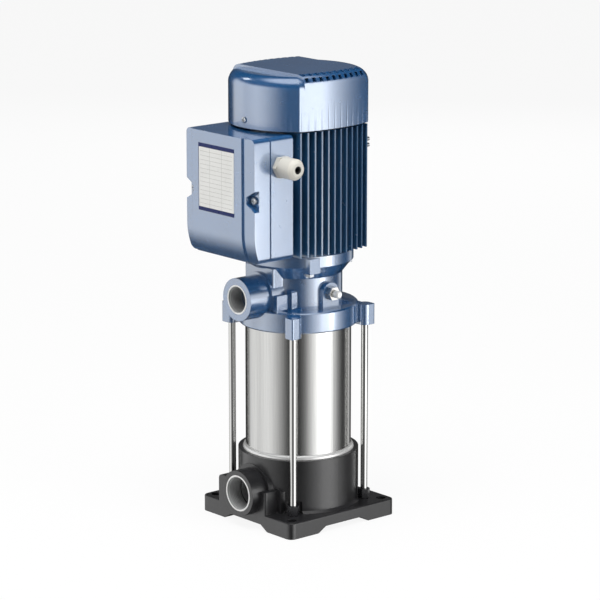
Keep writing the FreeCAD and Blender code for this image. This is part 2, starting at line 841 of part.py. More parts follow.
def fan_cover():
    """Ribbed and slotted hood over the fan, open at the bottom."""
    body_top = cover_top - panel_rise
    body = motor_plan(cover_low, body_top)
    body = fillet_where(body, shoulder_radius, lambda edge: at_height(edge, body_top))
    panel = motor_plan(cover_low, cover_top)
    panel = panel.common(block(-cover_radius, cover_radius, -panel_half, panel_half, cover_low, cover_top))
    panel = fillet_where(panel, shoulder_radius - 2, lambda edge: at_height(edge, cover_top)
                         and edge.BoundBox.YLength > panel_half)
    ceiling = body_top - cover_wall
    inside = motor_plan(cover_low - 1, ceiling, cover_wall)
    ceiling_edges = [edge for edge in inside.Edges if at_height(edge, ceiling)]
    inside = inside.makeChamfer((shoulder_radius - cover_wall) * 0.7, ceiling_edges)
    hood = joined([body, panel]).cut(inside)
    slots = []
    for number in range(fin_count - 2):
        y = (number - (fin_count - 3) / 2) * fin_pitch
        wall = side_bulge - y ** 2 / (2 * side_curve)
        for side in (-1, 1):
            near, far = sorted((side * (wall - slot_inset), side * (wall - slot_inset + slot_length)))
            slots.append(block(near, far, y - slot_width / 2, y + slot_width / 2,
                               ceiling - shoulder_radius / 3, cover_top + 1))
            near, far = sorted((side * (wall - lower_slot_inset), side * cover_radius))
            slots.append(block(near, far, y - slot_width / 2, y + slot_width / 2,
                               cover_top - lower_slot_low, cover_top - lower_slot_high))
    return hood.cut(slots + [cover_screw_hole()])


def fan_cover_screws():
    """Two screws through the round faces of the cover into the end shield's arms."""
    screws = []
    for side in (-1, 1):
        outward = Vector(0, side, 0)
        seat = outward * (cover_radius + 0.02) + Vector(0, 0, cover_screw_z)
        head = bar(cover_screw_radius * 1.8, seat, outward, 1.6)
        screws.append(joined([head, bar(cover_screw_radius, seat, outward * -1, cover_screw_length)]))
    return Part.makeCompound(screws)


def fan():
    """Plastic fan with straight radial blades on a thin disc."""
    bore = fan_bore + press_clearance
    disc = turned([
        (bore, shield_top + 4), (fan_bore + 5, shield_top + 4), (fan_bore + 5, fan_low),
        (fan_radius, fan_low), (fan_radius, fan_low + 2), (fan_bore + 5, fan_low + 2),
        (fan_bore + 5, fan_low + fan_hub_height - 2), (bore, fan_low + fan_hub_height - 2),
    ])
    blades = []
    for number in range(fan_blades):
        plate = block(fan_bore + 4, fan_radius - 1, -1, 1, fan_low + 1, fan_low + fan_height)
        plate.rotate(Vector(0, 0, 0), Vector(0, 0, 1), number * 360 / fan_blades)
        blades.append(plate)
    return joined([disc] + blades)


def terminal_box():
    """Open-fronted box on the frame's pad, with screw bosses at mid-height."""
    half = box_width / 2
    shell = block(-half, half, -box_split + seam_width, -box_back, box_bottom, box_top)
    shell = fillet_where(shell, box_corner, is_cross)
    inset = half - seam_depth
    rim = block(-inset, inset, -box_split, -box_split + seam_width + 1,
                box_bottom + seam_depth, box_top - seam_depth)
    shell = joined([shell, fillet_where(rim, box_corner - seam_depth, is_cross)])
    inside = block(-half + box_wall, half - box_wall, -box_split - 1, -box_back - box_wall,
                   box_bottom + box_wall, box_top - box_wall)
    shell = shell.cut(inside)
    boss_x = half - pocket_reach / 2
    bosses = [
        block(side * boss_x - 5, side * boss_x + 5, -box_split, -box_back - 1, pocket_z - 5, pocket_z + 5)
        for side in (-1, 1)
    ]
    inward = Vector(0, 1, 0)
    hole_radius = box_screw_radius + fit_clearance
    hole_depth = box_screw_depth + 1
    holes = [
        bar(hole_radius, Vector(side * boss_x, -box_split, pocket_z), inward, hole_depth)
        for side in (-1, 1)
    ]
    entry_start = Vector(half - box_wall - 1, -gland_offset, gland_z)
    entry = bar(gland_thread_radius + fit_clearance, entry_start, Vector(1, 0, 0), box_wall + 2)
    return on_box(joined([shell] + bosses).cut(holes + [entry]))


def cover_block(left, right, front):
    """Part of the terminal cover between two sides, with the swept lower front edge."""
    foot = Vector(left, front + sweep_depth, box_bottom)
    bend = Vector(left, front, box_bottom + sweep_height)
    centre_y = front + (sweep_height ** 2 + sweep_depth ** 2) / (2 * sweep_depth)
    turn = math.atan2(sweep_height, centre_y - front - sweep_depth) / 2
    radius = centre_y - front
    middle = Vector(left, centre_y - radius * math.cos(turn),
                    box_bottom + sweep_height - radius * math.sin(turn))
    back_low, back_high = Vector(left, -box_split, box_bottom), Vector(left, -box_split, box_top)
    front_high = Vector(left, front, box_top)
    wire = Part.Wire([
        Part.Arc(foot, middle, bend).toShape(), Part.makeLine(bend, front_high),
        Part.makeLine(front_high, back_high), Part.makeLine(back_high, back_low),
        Part.makeLine(back_low, foot),
    ])
    return Part.Face(wire).extrude(Vector(right - left, 0, 0))


def terminal_cover():
    """Deep cover with a raised front panel, a swept lower edge and two screw pockets."""
    half = box_width / 2
    limit = block(-half, half, -box_front - 1, -box_split + 1, box_bottom, box_top)
    limit = fillet_where(limit, box_corner, is_cross)
    strips = cover_block(-half, half, -box_front + panel_step).common(limit)
    panel = cover_block(-panel_left, panel_right, -box_front).common(limit)
    body = joined([strips, panel])
    wall = box_wall + panel_step
    inside = block(-half + box_wall, half - box_wall, -box_front + wall + sweep_depth, -box_split + 1,
                   box_bottom + box_wall, box_top - box_wall)
    pockets = []
    holes = []
    posts = []
    inner = half - pocket_reach
    for side in (-1, 1):
        rim = [(half + 1, -pocket_mouth), (half + 1, pocket_mouth), (inner, pocket_end), (inner, -pocket_end)]
        points = [Vector(side * x, -box_front - 1, pocket_z + z) for x, z in rim]
        pockets.append(prism(points, Vector(0, pocket_depth + panel_step + 1, 0)))
        mouth = Vector(side * (half - pocket_reach / 2), -box_front, pocket_z)
        holes.append(bar(box_screw_radius + fit_clearance, mouth, Vector(0, 1, 0), box_front - box_split))
        near, far = sorted((side * (inner - box_wall), side * (half - 1)))
        posts.append(block(near, far, -box_front + panel_step + 2, -box_split,
                           pocket_z - post_half, pocket_z + post_half))
    return on_box(joined([body.cut(inside)] + posts).cut(pockets + holes))


def terminal_cover_screws():
    """Two cross-head screws in the pockets of the cover."""
    screws = []
    for side in (-1, 1):
        x = side * (box_width / 2 - pocket_reach / 2)
        seat = Vector(x, -box_front + pocket_depth + panel_step, pocket_z)
        inward = Vector(0, 1, 0)
        head = bar(box_screw_radius * 1.9, seat, inward * -1, 3.0)
        length = -box_split + box_screw_depth - seat.y
        screws.append(joined([head, bar(box_screw_radius, seat, inward, length)]))
    return on_box(Part.makeCompound(screws))


def terminal_block():
    """Row of clamps on the back wall of the terminal box."""
    back = -box_back - box_wall
    half, front = clamp_count * clamp_pitch / 2, back - clamp_depth
    body = block(-half, half, front, back, pocket_z - clamp_height / 2, pocket_z + clamp_height / 2)
    wells = []
    for number in range(clamp_count):
        x = (number - (clamp_count - 1) / 2) * clamp_pitch
        reach = clamp_well / 2
        wells.append(block(x - reach, x + reach, front - 1, front + clamp_well,
                           pocket_z - reach, pocket_z + reach))
    return on_box(body.cut(wells))


def run_capacitor():
    """Capacitor that lies across the bottom of the terminal box."""
    radius = capacitor_radius
    centre = Vector(-capacitor_length / 2, -box_back - box_wall - radius, box_bottom + box_wall + radius)
    return on_box(bar(radius, centre, Vector(1, 0, 0), capacitor_length))


def cable_gland():
    """Gland body: thread through the box wall, hexagon and stub for the dome nut."""
    face = Vector(box_width / 2, -gland_offset, gland_z)
    outward = Vector(1, 0, 0)
    thread = bar(gland_thread_radius, face, outward * -1, box_wall + gland_thread_run)
    flats = hexagon(gland_flats, face, outward, gland_flats_height)
    stub = bar(gland_thread_radius, face, outward, gland_stub)
    bore = bar(gland_bore + 1, face - outward * gland_stub, outward, 3 * gland_stub)
    return on_box(joined([thread, flats, stub]).cut(bore))


def gland_nut():
    """Dome nut of the cable gland with the cable opening in its crown."""
    start = Vector(box_width / 2 + gland_flats_height + gland_nut_gap, -gland_offset, gland_z)
    outward = Vector(1, 0, 0)
    length = gland_nut_length
    crown = gland_radius * 0.36
    dome = joined([
        bar(gland_radius, start, outward, length - crown),
        Part.makeCone(gland_radius, gland_radius - crown * 0.45, crown * 0.6,
                      start + outward * (length - crown), outward),
        Part.makeCone(gland_radius - crown * 0.45, gland_radius - crown, crown * 0.4,
                      start + outward * (length - crown * 0.4), outward),
    ])
    hollow = bar(gland_thread_radius + fit_clearance, start, outward, gland_stub - gland_flats_height + 1)
    return on_box(dome.cut([hollow, bar(gland_bore, start, outward, length + 1)]))


def gland_lock_nut():
    """Thin nut that holds the gland from inside the box."""
    start = Vector(box_width / 2 - box_wall, -gland_offset, gland_z)
    inward = Vector(-1, 0, 0)
    nut = hexagon(gland_flats, start, inward, lock_nut_height)
    return on_box(nut.cut(bar(gland_thread_radius + fit_clearance, start, inward, lock_nut_height)))


def rating_label():
    """Thin plate on the raised panel of the terminal cover."""
    x = label_centre - label_width / 2
    z = box_top - label_top_gap - label_height
    return block(x, x + label_width, -box_front - label_thickness, -box_front, z, z + label_height)


def earth_screws():
    """Two small screws at the back corner of the frame, beside the last fin."""
    y = (fin_count - 1) / 2 * fin_pitch + fin_thickness / 2
    screws = []
    for height in (earth_screw_height, earth_screw_height + earth_screw_pitch):
        screws.append(bar(2.4, Vector(earth_screw_x, y, flange_top + height), Vector(0, 1, 0), 6.0))
    return Part.makeCompound(screws)


def seal_seat():
    """Fixed ring of the shaft seal."""
    return tube(seal_bore - press_clearance, seal_shaft_radius + 1, seal_z, seat_top)


def seal_head():
    """Rotating head of the shaft seal, with its spring enclosed."""
    low = seal_z - seal_head_height
    return turned([
        (seal_shaft_radius + press_clearance, low), (seal_head_radius, low),
        (seal_head_radius, seal_z - 4), (seal_head_radius - 2, seal_z - 4),
        (seal_head_radius - 2, seal_z), (seal_shaft_radius + press_clearance, seal_z),
    ])


os.makedirs("parts", exist_ok=True)
save("suction_body", suction_body())
save("drain_plug", drain_plug())
save("jacket", jacket())
save("tie_rods", tie_rods())
save("tie_rod_nuts", Part.makeCompound(at_rods(rod_nut)))
save("discharge_body", discharge_body())
save("motor_bolts", Part.makeCompound(at_motor_bolts(motor_bolt)))
save("vent_plug", vent_plug())
save("bleed_stem", bleed_stem())
save("bleed_knob", bleed_knob())
for stage in range(stage_count):
    save("stage_chamber_" + str(stage + 1), stage_chamber(stage))
    save("impeller_" + str(stage + 1), impeller(stage))
save("shaft", shaft())
save("shaft_nut", shaft_nut())
save("seal_seat", seal_seat())
save("seal_head", seal_head())
save("bearing_outer_rings", bearing_outer_rings())
save("bearing_inner_rings", bearing_inner_rings())
save("motor_frame", motor_frame())
save("stator_core", stator_core())
save("stator_windings", stator_windings())
save("rotor_core", rotor_core())
save("upper_end_shield", upper_end_shield())
save("fan", fan())
save("fan_cover", fan_cover())
save("fan_cover_screws", fan_cover_screws())
save("terminal_box", terminal_box())
save("terminal_cover", terminal_cover())
save("terminal_cover_screws", terminal_cover_screws())
save("terminal_block", terminal_block())
save("run_capacitor", run_capacitor())
save("cable_gland", cable_gland())
save("gland_nut", gland_nut())
save("gland_lock_nut", gland_lock_nut())
save("rating_label", rating_label())
save("earth_screws", earth_screws())
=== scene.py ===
import json
import math

import bmesh
import bpy
import numpy as np
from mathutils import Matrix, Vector


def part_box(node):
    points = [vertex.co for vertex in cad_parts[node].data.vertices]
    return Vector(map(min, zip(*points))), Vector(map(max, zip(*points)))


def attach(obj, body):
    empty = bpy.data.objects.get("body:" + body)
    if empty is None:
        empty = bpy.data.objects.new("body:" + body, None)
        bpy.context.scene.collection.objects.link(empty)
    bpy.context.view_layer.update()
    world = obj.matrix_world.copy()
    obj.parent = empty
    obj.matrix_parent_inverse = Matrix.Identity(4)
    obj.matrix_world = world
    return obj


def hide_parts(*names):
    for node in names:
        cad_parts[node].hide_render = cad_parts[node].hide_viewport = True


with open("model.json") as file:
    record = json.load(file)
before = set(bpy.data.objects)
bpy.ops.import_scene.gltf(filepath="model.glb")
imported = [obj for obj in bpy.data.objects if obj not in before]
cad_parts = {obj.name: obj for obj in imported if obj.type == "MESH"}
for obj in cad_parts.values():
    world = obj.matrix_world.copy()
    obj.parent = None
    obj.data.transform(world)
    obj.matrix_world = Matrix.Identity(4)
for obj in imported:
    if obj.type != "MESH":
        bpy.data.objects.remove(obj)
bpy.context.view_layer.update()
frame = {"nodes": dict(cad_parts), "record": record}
scene = bpy.context.scene
nodes = frame["nodes"]
mounts = {mount["name"]: mount for mount in frame["record"]["mounts"]}

MM = 0.001
TURN = 2 * math.pi
WHITE = (1, 1, 1, 1)
SHARP_ANGLE = math.radians(35)
JOIN_WITHIN = 1e-6
SHORTEST_EDGE = 1e-7
BEVEL_SAMPLES = 4

# Ports: the cut thread, the passage behind it, lined light grey as painted light in the dark bore, and the
# faced rim round its mouth; the gaps keep them clear of the CAD faces, and the rim reaches its height over
# one part in port_rim_slope of its width
thread_pitch = 2.31 * MM
thread_ridge = 0.35 * MM
thread_depth = 20.0 * MM
port_lip = 2.8 * MM
port_step = 2.0 * MM
passage_depth = 29.0 * MM
mouth_gap = 0.05 * MM
lining_gap = 0.06 * MM
port_rim_width = 2.2 * MM
port_rim_height = 0.3 * MM
port_rim_slope = 5

# Tie rods and their nuts; the cone that cuts a nut's corners widens by nut_slope times the height
rod_radius = 4.2 * MM
rod_nut_flats = 13.0 * MM
nut_chamfer = 0.9 * MM
nut_slope = 2

# Cross-recessed screw heads; the last four are shares of the radius, the arm, the radius and the height
cover_head_height = 3.0 * MM
fan_head_height = 1.6 * MM
recess_arm = 0.55 * MM
recess_depth = 1.2 * MM
recess_reach = 0.62
recess_wall = 0.3
recess_end = 0.1
dome_fall = 0.3

# Rolled lip at the jacket's foot, and the seal in the gland's mouth
lip_out = 3.4 * MM
lip_up = 4.5 * MM
gland_bore = 4.8 * MM
seal_lip = 2.0 * MM
seal_set = 0.8 * MM
seal_depth = 9.0 * MM

# How finely the pieces are drawn: rows along the profile and sides around the axis
thread_rows = 70
rim_rows = 11
port_sides = 120
head_rows = 25
head_sides = 72
nut_sides = 96
foot_rows = 10
foot_sides = 180
seal_rows = 7
seal_sides = 48

# Grooves of the fan cover: they stand at the fins' pitch, where X is further out than groove_side
fin_pitch = 9.4 * MM
groove_width = 1.4 * MM
groove_depth = 0.25 * MM
groove_side = 55.0 * MM

# Print on the rating label; the table's columns stand at shares of its width
bar_height = 4.6 * MM
table_row = 5.2 * MM
table_margin = 3.0 * MM
table_columns = (0.32, 0.66)
rule_width = 0.5 * MM
left_line = 1.0 * MM

# Camera, fitted to the photograph's perspective: metres, a direction, and millimetres
camera_place = (2.6848, -2.3058, 1.0998)
camera_aim = (-0.73807, 0.63465, -0.22905)
sensor_width = 36
focal_length = 180.3

# Studio: how bright the walls and the ceiling mirror, and what the camera sees of floor and backdrop
wall_light = 2.7
ceiling_level = 0.4
floor_reach = 12.0
floor_paint = 0.7
floor_glow = 0.9
floor_shade = 0.08
backdrop_light = 0.955

# Levels of the walls over the compass heading in degrees: the object stands between two white walls
right_wall = [(0, 0.62), (7, 0.95), (28, 0.95), (37, 0.5), (46, 0.3), (55, 0.14), (66, 0.04)]
rear_gap = [(78, 0.012), (90, 0.12), (102, 0.34), (113, 0.012), (128, 0.012), (139, 0.045), (150, 0.012)]
left_wall = [(181, 0.012), (191, 0.37), (213, 0.42), (223, 0.36), (248, 0.46), (262, 0.38), (283, 0.17),
             (296, 0.04)]
front_gap = [(320, 0.012), (334, 0.09), (346, 0.33), (360, 0.62)]

# Shares of the walls' level, and levels of the ceiling, over the tilt in degrees
wall_fade = [(-90, 0.6), (-52, 0.5), (-42, 0.1), (-33, 0.05), (-19, 1.0), (15, 1.0), (26, 0.03),
             (90, 0.03)]
ceiling = [(-90, 0.0), (54, 0.0), (66, ceiling_level), (90, ceiling_level)]

# Lamps: name, place, target, width and height in metres, power in watts, and whether surfaces mirror it
middle = (0, 0, 0.3)
lamps = [
    ("right_fill", (2.4, 0.6, 1.4), middle, (1.6, 1.6), 18, False),
    ("left_fill", (-0.7, -2.4, 1.3), middle, (1.6, 1.6), 12, False),
    ("rear_fill", (-1.8, 1.9, 1.3), middle, (1.6, 1.6), 16, False),
    ("top_softbox", (0.4, -0.6, 2.2), middle, (1.2, 1.2), 36, False),
    ("side_card", (0.7, 0.32, 0.2), (0.06, -0.16, 0.42), (0.14, 0.24), 0.3, True),
    ("edge_strip", (-1.45, -0.48, 1.7), (0, 0, 0.4), (0.35, 0.35), 1.2, True),
]

# Nodes whose finish differs from the others of their slot: the fins' duller enamel is painted shade, and the
# knob's near-white plating a painted highlight
own_finish = {"motor_frame": "blue_fins", "fan_cover": "blue_cover", "bleed_knob": "plating_painted_near_white"}


def linear(code):
    """Turns an sRGB hex code into a linear colour with full opacity: a dark channel is divided by 12.92,
    and a lighter one follows the curve to the power 2.4."""
    parts = [int(code[i:i + 2], 16) / 255 for i in (0, 2, 4)]
    return tuple(c / 12.92 if c <= 0.04045 else ((c + 0.055) / 1.055) ** 2.4 for c in parts) + (1.0,)


def add(tree, kind, inputs=None, stops=(), **settings):
    """Adds one node, sets its fields, and sets or links its inputs by name or number.

    A node given as an input is linked by its first output. Stops are pairs of a place and a grey level."""
    node = tree.nodes.new(kind)
    for field, value in settings.items():
        setattr(node, field, value)
    for key, value in (inputs or {}).items():
        if isinstance(value, bpy.types.Node):
            value = value.outputs[0]
        if isinstance(value, bpy.types.NodeSocket):
            tree.links.new(value, node.inputs[key])
        else:
            node.inputs[key].default_value = value
    if stops:
        marks = node.color_ramp.elements
        while len(marks) < len(stops):
            marks.new(0.5)
        for mark, (place, level) in zip(marks, stops):
            mark.position = place
            mark.color = (level, level, level, 1)
    return node


def finish_material(name, shader, rough, grain, gloss=None, drift=None, detail=3.0, stretch=1.0,
                    tones=None, paint=None, bump=None, edge=0.0, grooves=None):
    """A material with one Principled shader, whose surface follows noise with grains of a size in metres:
    grain for the height, gloss for the roughness and drift for the tone, or grain for those not given.

    The noise's scale is half of one over the grain's size, and stretch draws the grains out along Z. The
    middle half of the noise is spread over the range from the first roughness or tone to the second, and
    paint builds a colour of its own. Bump is a strength and a depth, edge the radius by which edges look
    rounded, and grooves a coarser relief under the bump."""
    material = bpy.data.materials.new(name)
    material.use_nodes = True
    tree = material.node_tree
    tree.nodes.clear()
    inputs = dict(shader)
    place = add(tree, "ShaderNodeTexCoord").outputs["Object"]
    drawn_out = add(tree, "ShaderNodeMapping", {"Vector": place, "Scale": (1, 1, 1 / stretch)})
    gloss, drift = gloss or grain, drift or grain
    noise = {}
    for size in dict.fromkeys((grain, gloss, drift)):
        grid = {"Vector": drawn_out, "Scale": 0.5 / size, "Detail": detail}
        noise[size] = add(tree, "ShaderNodeTexNoise", grid)
    middle_half = {"From Min": 0.25, "From Max": 0.75}
    shine = {"Value": noise[gloss], "To Min": rough[0], "To Max": rough[1], **middle_half}
    inputs["Roughness"] = add(tree, "ShaderNodeMapRange", shine)
    if tones:
        share = add(tree, "ShaderNodeMapRange", {"Value": noise[drift], **middle_half})
        mix = {0: share, 6: linear(tones[0]), 7: linear(tones[1])}
        inputs["Base Color"] = add(tree, "ShaderNodeMix", mix, data_type="RGBA").outputs[2]
    if paint:
        inputs["Base Color"] = paint(tree, place, noise[drift])
    if bump:
        relief = {"Height": noise[grain], "Strength": bump[0], "Distance": bump[1]}
        if edge:
            relief["Normal"] = add(tree, "ShaderNodeBevel", {"Radius": edge}, samples=BEVEL_SAMPLES)
        if grooves:
            coarse = {"Height": grooves(tree, place), "Strength": 1.0, "Distance": groove_depth}
            relief["Normal"] = add(tree, "ShaderNodeBump", {**coarse, "Normal": relief["Normal"]})
        inputs["Normal"] = add(tree, "ShaderNodeBump", relief)
    principled = add(tree, "ShaderNodeBsdfPrincipled", inputs)
    add(tree, "ShaderNodeOutputMaterial", {"Surface": principled})
    return material


def cover_grooves(tree, place):
    """Shallow upright grooves below the slots of the fan cover, one at each step of the pitch across.

    The height is a smooth step of the distance from the nearest groove's line, times a share that falls
    from one at the cover's foot to nothing at half its height. It is nothing closer in than groove_side."""
    low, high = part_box("fan_cover")
    split = add(tree, "ShaderNodeSeparateXYZ", {0: place})
    across = add(tree, "ShaderNodeMath", {0: split.outputs[1], 1: fin_pitch}, operation="PINGPONG")
    shifted = add(tree, "ShaderNodeMath", {0: across, 1: fin_pitch / 2}, operation="SUBTRACT")
    distance = add(tree, "ShaderNodeMath", {0: shifted}, operation="ABSOLUTE")
    groove = add(tree, "ShaderNodeMapRange", {"Value": distance, "From Min": 0, "From Max": groove_width},
                 interpolation_type="SMOOTHSTEP")
    fade = add(tree, "ShaderNodeMapRange", {"Value": split.outputs[2], "From Min": low.z,
                                            "From Max": (low.z + high.z) / 2, "To Min": 1, "To Max": 0})
    sides = add(tree, "ShaderNodeMath", {0: split.outputs[0]}, operation="ABSOLUTE")
    on_side = add(tree, "ShaderNodeMath", {0: sides, 1: groove_side}, operation="GREATER_THAN")
    strength = add(tree, "ShaderNodeMath", {0: fade, 1: on_side}, operation="MULTIPLY")
    return add(tree, "ShaderNodeMath", {0: groove, 1: strength}, operation="MULTIPLY")


def label_print(tree, place, drift):
    """The rating label's colour: pale film with an empty table, a line down its left edge, and a blue bar
    at each end. A mark shows where a coordinate is within the mark's half width of its middle."""
    low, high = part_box("rating_label")
    wide = high.x - low.x
    split = add(tree, "ShaderNodeSeparateXYZ", {0: place})
    across, along = split.outputs[0], split.outputs[2]
    tones = {0: drift, 6: linear("dcdcd9"), 7: linear("e8e8e5")}
    colour = add(tree, "ShaderNodeMix", tones, data_type="RGBA").outputs[2]
    row = add(tree, "ShaderNodeMath", {0: along, 1: table_row}, operation="FLOORED_MODULO")
    in_table = add(tree, "ShaderNodeMath", {0: across, 1: low.x + wide / 2, 2: wide / 2 - table_margin},
                   operation="COMPARE")
    table = add(tree, "ShaderNodeMath", {0: row, 1: in_table}, operation="MULTIPLY")
    marks = [(table, table_row / 2, rule_width / 2, "b9b9b4")]
    marks += [(across, low.x + share * wide, rule_width / 2, "b9b9b4") for share in table_columns]
    marks += [(across, low.x, left_line, "4a5068")]
    marks += [(along, end, bar_height, "102058") for end in (low.z, high.z)]
    for value, centre, half_width, code in marks:
        mask = add(tree, "ShaderNodeMath", {0: value, 1: centre, 2: half_width}, operation="COMPARE")
        print_over = {0: mask, 6: colour, 7: linear(code)}
        colour = add(tree, "ShaderNodeMix", print_over, data_type="RGBA").outputs[2]
    return colour


def make_materials():
    """One material for each finish, keyed by the record's slot."""
    made = {}

    # Metallic blue enamel sprayed on die-cast aluminium: deep blue in shade, pale where it mirrors a wall,
    # with a tone that drifts a little and a soft orange peel
    enamel = {"IOR": 3.5, "Specular Tint": linear("e8f2ff"), "Coat Weight": 1.0, "Coat Roughness": 0.1,
              "Coat IOR": 2.0}
    spray = {"rough": (0.2, 0.28), "grain": 1.6 * MM, "gloss": 4 * MM, "drift": 30 * MM,
             "bump": (0.12, 0.05 * MM)}
    blues = ("1b4f80", "245a8e")
    made["blue_casting"] = finish_material("blue_enamel", enamel, tones=blues, edge=0.8 * MM, **spray)
    made["blue_cover"] = finish_material("blue_enamel_on_fan_cover", enamel, tones=blues, edge=0.8 * MM,
                                         grooves=cover_grooves, **spray)
    # The fins get a duller copy of the enamel, greyer and mirroring less: painted shade in place of the
    # highlight spread over their rounded tips
    dulled_fin_enamel = {"IOR": 1.7, "Coat Weight": 1.0, "Coat Roughness": 0.2, "Coat IOR": 1.5}
    made["blue_fins"] = finish_material("blue_enamel_dulled_on_fins", dulled_fin_enamel, tones=("224a70", "2b567c"),
                                        edge=1.1 * MM, **spray)

    # Black electro-coat on cast iron: satin, with the grain of the sand mould under it
    electro_coat = {"IOR": 1.55, "Coat Weight": 0.7, "Coat Roughness": 0.2}
    made["black_casting"] = finish_material(
        "black_coated_iron", electro_coat, rough=(0.34, 0.46), grain=0.9 * MM, gloss=2 * MM,
        drift=25 * MM, tones=("19191a", "242426"), bump=(0.3, 0.12 * MM), edge=1.0 * MM)

    # Rolled stainless sheet with its grain along the tube: long bright streaks, drawn wider than real
    made["stainless_jacket"] = finish_material(
        "brushed_stainless", {"Metallic": 1.0}, rough=(0.15, 0.24), grain=0.35 * MM, detail=2.0,
        stretch=90.0, tones=("c2c2c1", "d2d2d0"), bump=(0.1, 0.02 * MM))

    # Bright drawn stainless bar: mirror-like along its length with faint draw marks, wider than real
    made["polished_steel"] = finish_material(
        "drawn_stainless", {"Metallic": 1.0, "Base Color": linear("d6d6d4")}, rough=(0.1, 0.2),
        grain=0.5 * MM, detail=2.0, stretch=60.0, bump=(0.06, 0.02 * MM))

    # Machined metals, whose fine turning marks are drawn coarser than real to show: name, metallic, colour,
    # and lowest and highest roughness
    turned = {"grain": 0.4 * MM, "detail": 2.0, "bump": (0.1, 0.03 * MM), "edge": 0.3 * MM}
    metals = {
        # Warm and bright, like a plated fitting
        "nickel_plug": ("nickel_plated_brass", 1.0, "f0eeea", (0.22, 0.32)),
        # Cool blue-white, a little hazy
        "zinc_screws": ("bright_zinc", 1.0, "cfd2d6", (0.22, 0.34)),
        # Clear reflections with a fine haze
        "shaft_steel": ("ground_steel", 1.0, "c4c4c6", (0.18, 0.3)),
        # Clearer and cooler still
        "bearing_steel": ("bearing_steel", 1.0, "b9babd", (0.15, 0.25)),
        # Dull dark grey of stacked sheets
        "core_steel": ("electrical_steel", 1.0, "6e7074", (0.4, 0.55)),
        # Soft light grey
        "bare_aluminium": ("machined_aluminium", 1.0, "c9cacc", (0.28, 0.4)),
        # Dull grey in the bore: bare metal on the cut thread, and painted light on the passage behind it,
        # where the cast wall would be dark
        "machined_iron": ("port_thread_and_painted_light_passage", 0.4, "b4b5b5", (0.4, 0.55)),
        # A pale, even ring
        "port_rim": ("faced_port_rim", 0.6, "f4f4f2", (0.3, 0.4)),
        # Barrelled and plated, painted near white: on the knob and the jacket's rolled lip this is a painted
        # highlight in place of the light they mirror
        "plating_painted_near_white": ("satin_plating_painted_near_white", 0.6, "f8f8f7", (0.3, 0.42)),
    }
    for finish, (name, metallic, code, rough) in metals.items():
        shader = {"Metallic": metallic, "Base Color": linear(code)}
        made[finish] = finish_material(name, shader, rough, **turned)

    # Moulded, sintered and blackened pieces, whose fine grain is drawn coarser than real to show: name,
    # colour, lowest and highest roughness, and grain
    moulded = {"bump": (0.15, 0.05 * MM), "edge": 0.5 * MM}
    plastics = {
        # Oil-blackened: near black with a low gleam
        "black_nuts": ("black_oxide_steel", "232326", (0.2, 0.3), 1.0 * MM),
        # Smooth ivory
        "seal_ring": ("lapped_ceramic", "ddd7c8", (0.15, 0.25), 0.6 * MM),
        # Flat black with no highlight
        "seal_body": ("moulded_rubber", "1c1c1c", (0.6, 0.75), 0.8 * MM),
        # Satin black
        "black_plastic": ("black_nylon", "1a1a1b", (0.4, 0.55), 0.6 * MM),
        # Cream, slightly glossy
        "block_plastic": ("phenolic", "d2ccbc", (0.35, 0.5), 0.8 * MM),
        # Warm light grey with a soft sheen
        "gland_plastic": ("light_grey_nylon", "cdcac1", (0.3, 0.42), 0.7 * MM),
        # Dark grey, dulled by the glass fibres at its skin
        "stage_plastic": ("glass_filled_nylon", "3a3a3c", (0.4, 0.55), 0.5 * MM),
        # The same a shade darker
        "impeller_plastic": ("glass_filled_polyphenylene", "2c2c2e", (0.4, 0.55), 0.5 * MM),
        # Red-brown under a clear varnish
        "copper_wire": ("varnished_copper", "a5552c", (0.25, 0.4), 0.8 * MM),
    }
    for finish, (name, code, rough, grain) in plastics.items():
        made[finish] = finish_material(name, {"Base Color": linear(code)}, rough, grain, **moulded)

    # Printed polyester film: smooth and weakly glossy, so the dark bars stay dark
    made["label_film"] = finish_material("printed_label_film", {"Specular IOR Level": 0.25},
                                         rough=(0.25, 0.35), grain=2 * MM, drift=12 * MM, paint=label_print)
    return made


def dress_cad_nodes(materials):
    """Gives each CAD node the material of its slot, or its own finish."""
    for part in frame["record"]["subparts"]:
        node = nodes[part["node"]]
        node.data.materials.clear()
        node.data.materials.append(materials[own_finish.get(part["node"], part["material_slot"])])


def surface(name, points, material, replaces=()):
    """A piece from a grid of points, in rows and columns; edges that meet and poles are merged."""
    rows, columns = points.shape[:2]
    index = np.arange(rows * columns).reshape(rows, columns)
    corners = [index[:-1, :-1], index[:-1, 1:], index[1:, 1:], index[1:, :-1]]
    faces = np.stack([corner.ravel() for corner in corners], axis=1)
    mesh = bpy.data.meshes.new(name)
    mesh.from_pydata(points.reshape(-1, 3).tolist(), [], faces.tolist())
    work = bmesh.new()
    work.from_mesh(mesh)
    bmesh.ops.remove_doubles(work, verts=work.verts, dist=JOIN_WITHIN)
    bmesh.ops.dissolve_degenerate(work, edges=work.edges, dist=SHORTEST_EDGE)
    bmesh.ops.recalc_face_normals(work, faces=work.faces)
    work.to_mesh(mesh)
    work.free()
    mesh.shade_smooth()
    mesh.set_sharp_from_angle(angle=SHARP_ANGLE)
    mesh.materials.append(material)
    piece = bpy.data.objects.new(name, mesh)
    scene.collection.objects.link(piece)
    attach(piece, "housing")
    if replaces:
        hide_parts(*replaces)


def turned_points(profile, centre, axis, sides, radius_change=None):
    """Turns a profile of (radius, distance) about an axis: a point is the centre, plus its radius along the
    direction at its angle, plus its distance along the axis. radius_change adds to each point's radius."""
    outward = Vector(axis).normalized()
    side = outward.orthogonal().normalized()
    up = outward.cross(side)
    angle = np.linspace(0, TURN, sides + 1)
    radius = profile[:, 0:1] * np.ones_like(angle)
    distance = profile[:, 1:2] * np.ones_like(angle)
    if radius_change:
        radius = radius + radius_change(distance, angle[None, :])
    ring = np.cos(angle)[None, :, None] * np.array(side) + np.sin(angle)[None, :, None] * np.array(up)
    return np.array(centre) + radius[..., None] * ring + distance[..., None] * np.array(outward)


